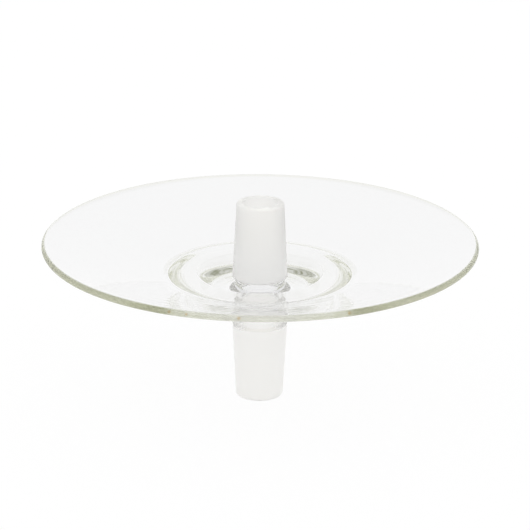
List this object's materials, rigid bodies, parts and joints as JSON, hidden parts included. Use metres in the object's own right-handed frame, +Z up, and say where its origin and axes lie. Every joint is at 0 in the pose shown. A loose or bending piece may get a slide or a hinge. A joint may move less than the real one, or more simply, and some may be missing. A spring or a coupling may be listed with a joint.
{
  "type": "glass ash tray",
  "caption": "Shallow round clear glass ash tray with a well sunk in its thick hub, on a hollow glass stem with a frosted taper joint above and below it.",
  "frame": {"origin": "on the stem's axis at the wide end of the lower ground joint, where the tray is held in the pipe's socket", "axes": "+Z up along the stem's axis, towards the upper joint; X and Y lie across the round saucer"},
  "size_m": [0.1486, 0.1486, 0.0696],
  "materials": {
    "clear_glass": "clear, fire-polished borosilicate glass",
    "ground_glass": "frosted, fine-ground borosilicate glass"
  },
  "bodies": {
    "root": {"saucer_plate": "clear_glass", "upper_neck": "clear_glass", "upper_ground_cone": "ground_glass", "lower_stem": "clear_glass", "lower_ground_cone": "ground_glass"}
  },
  "joints": []
}
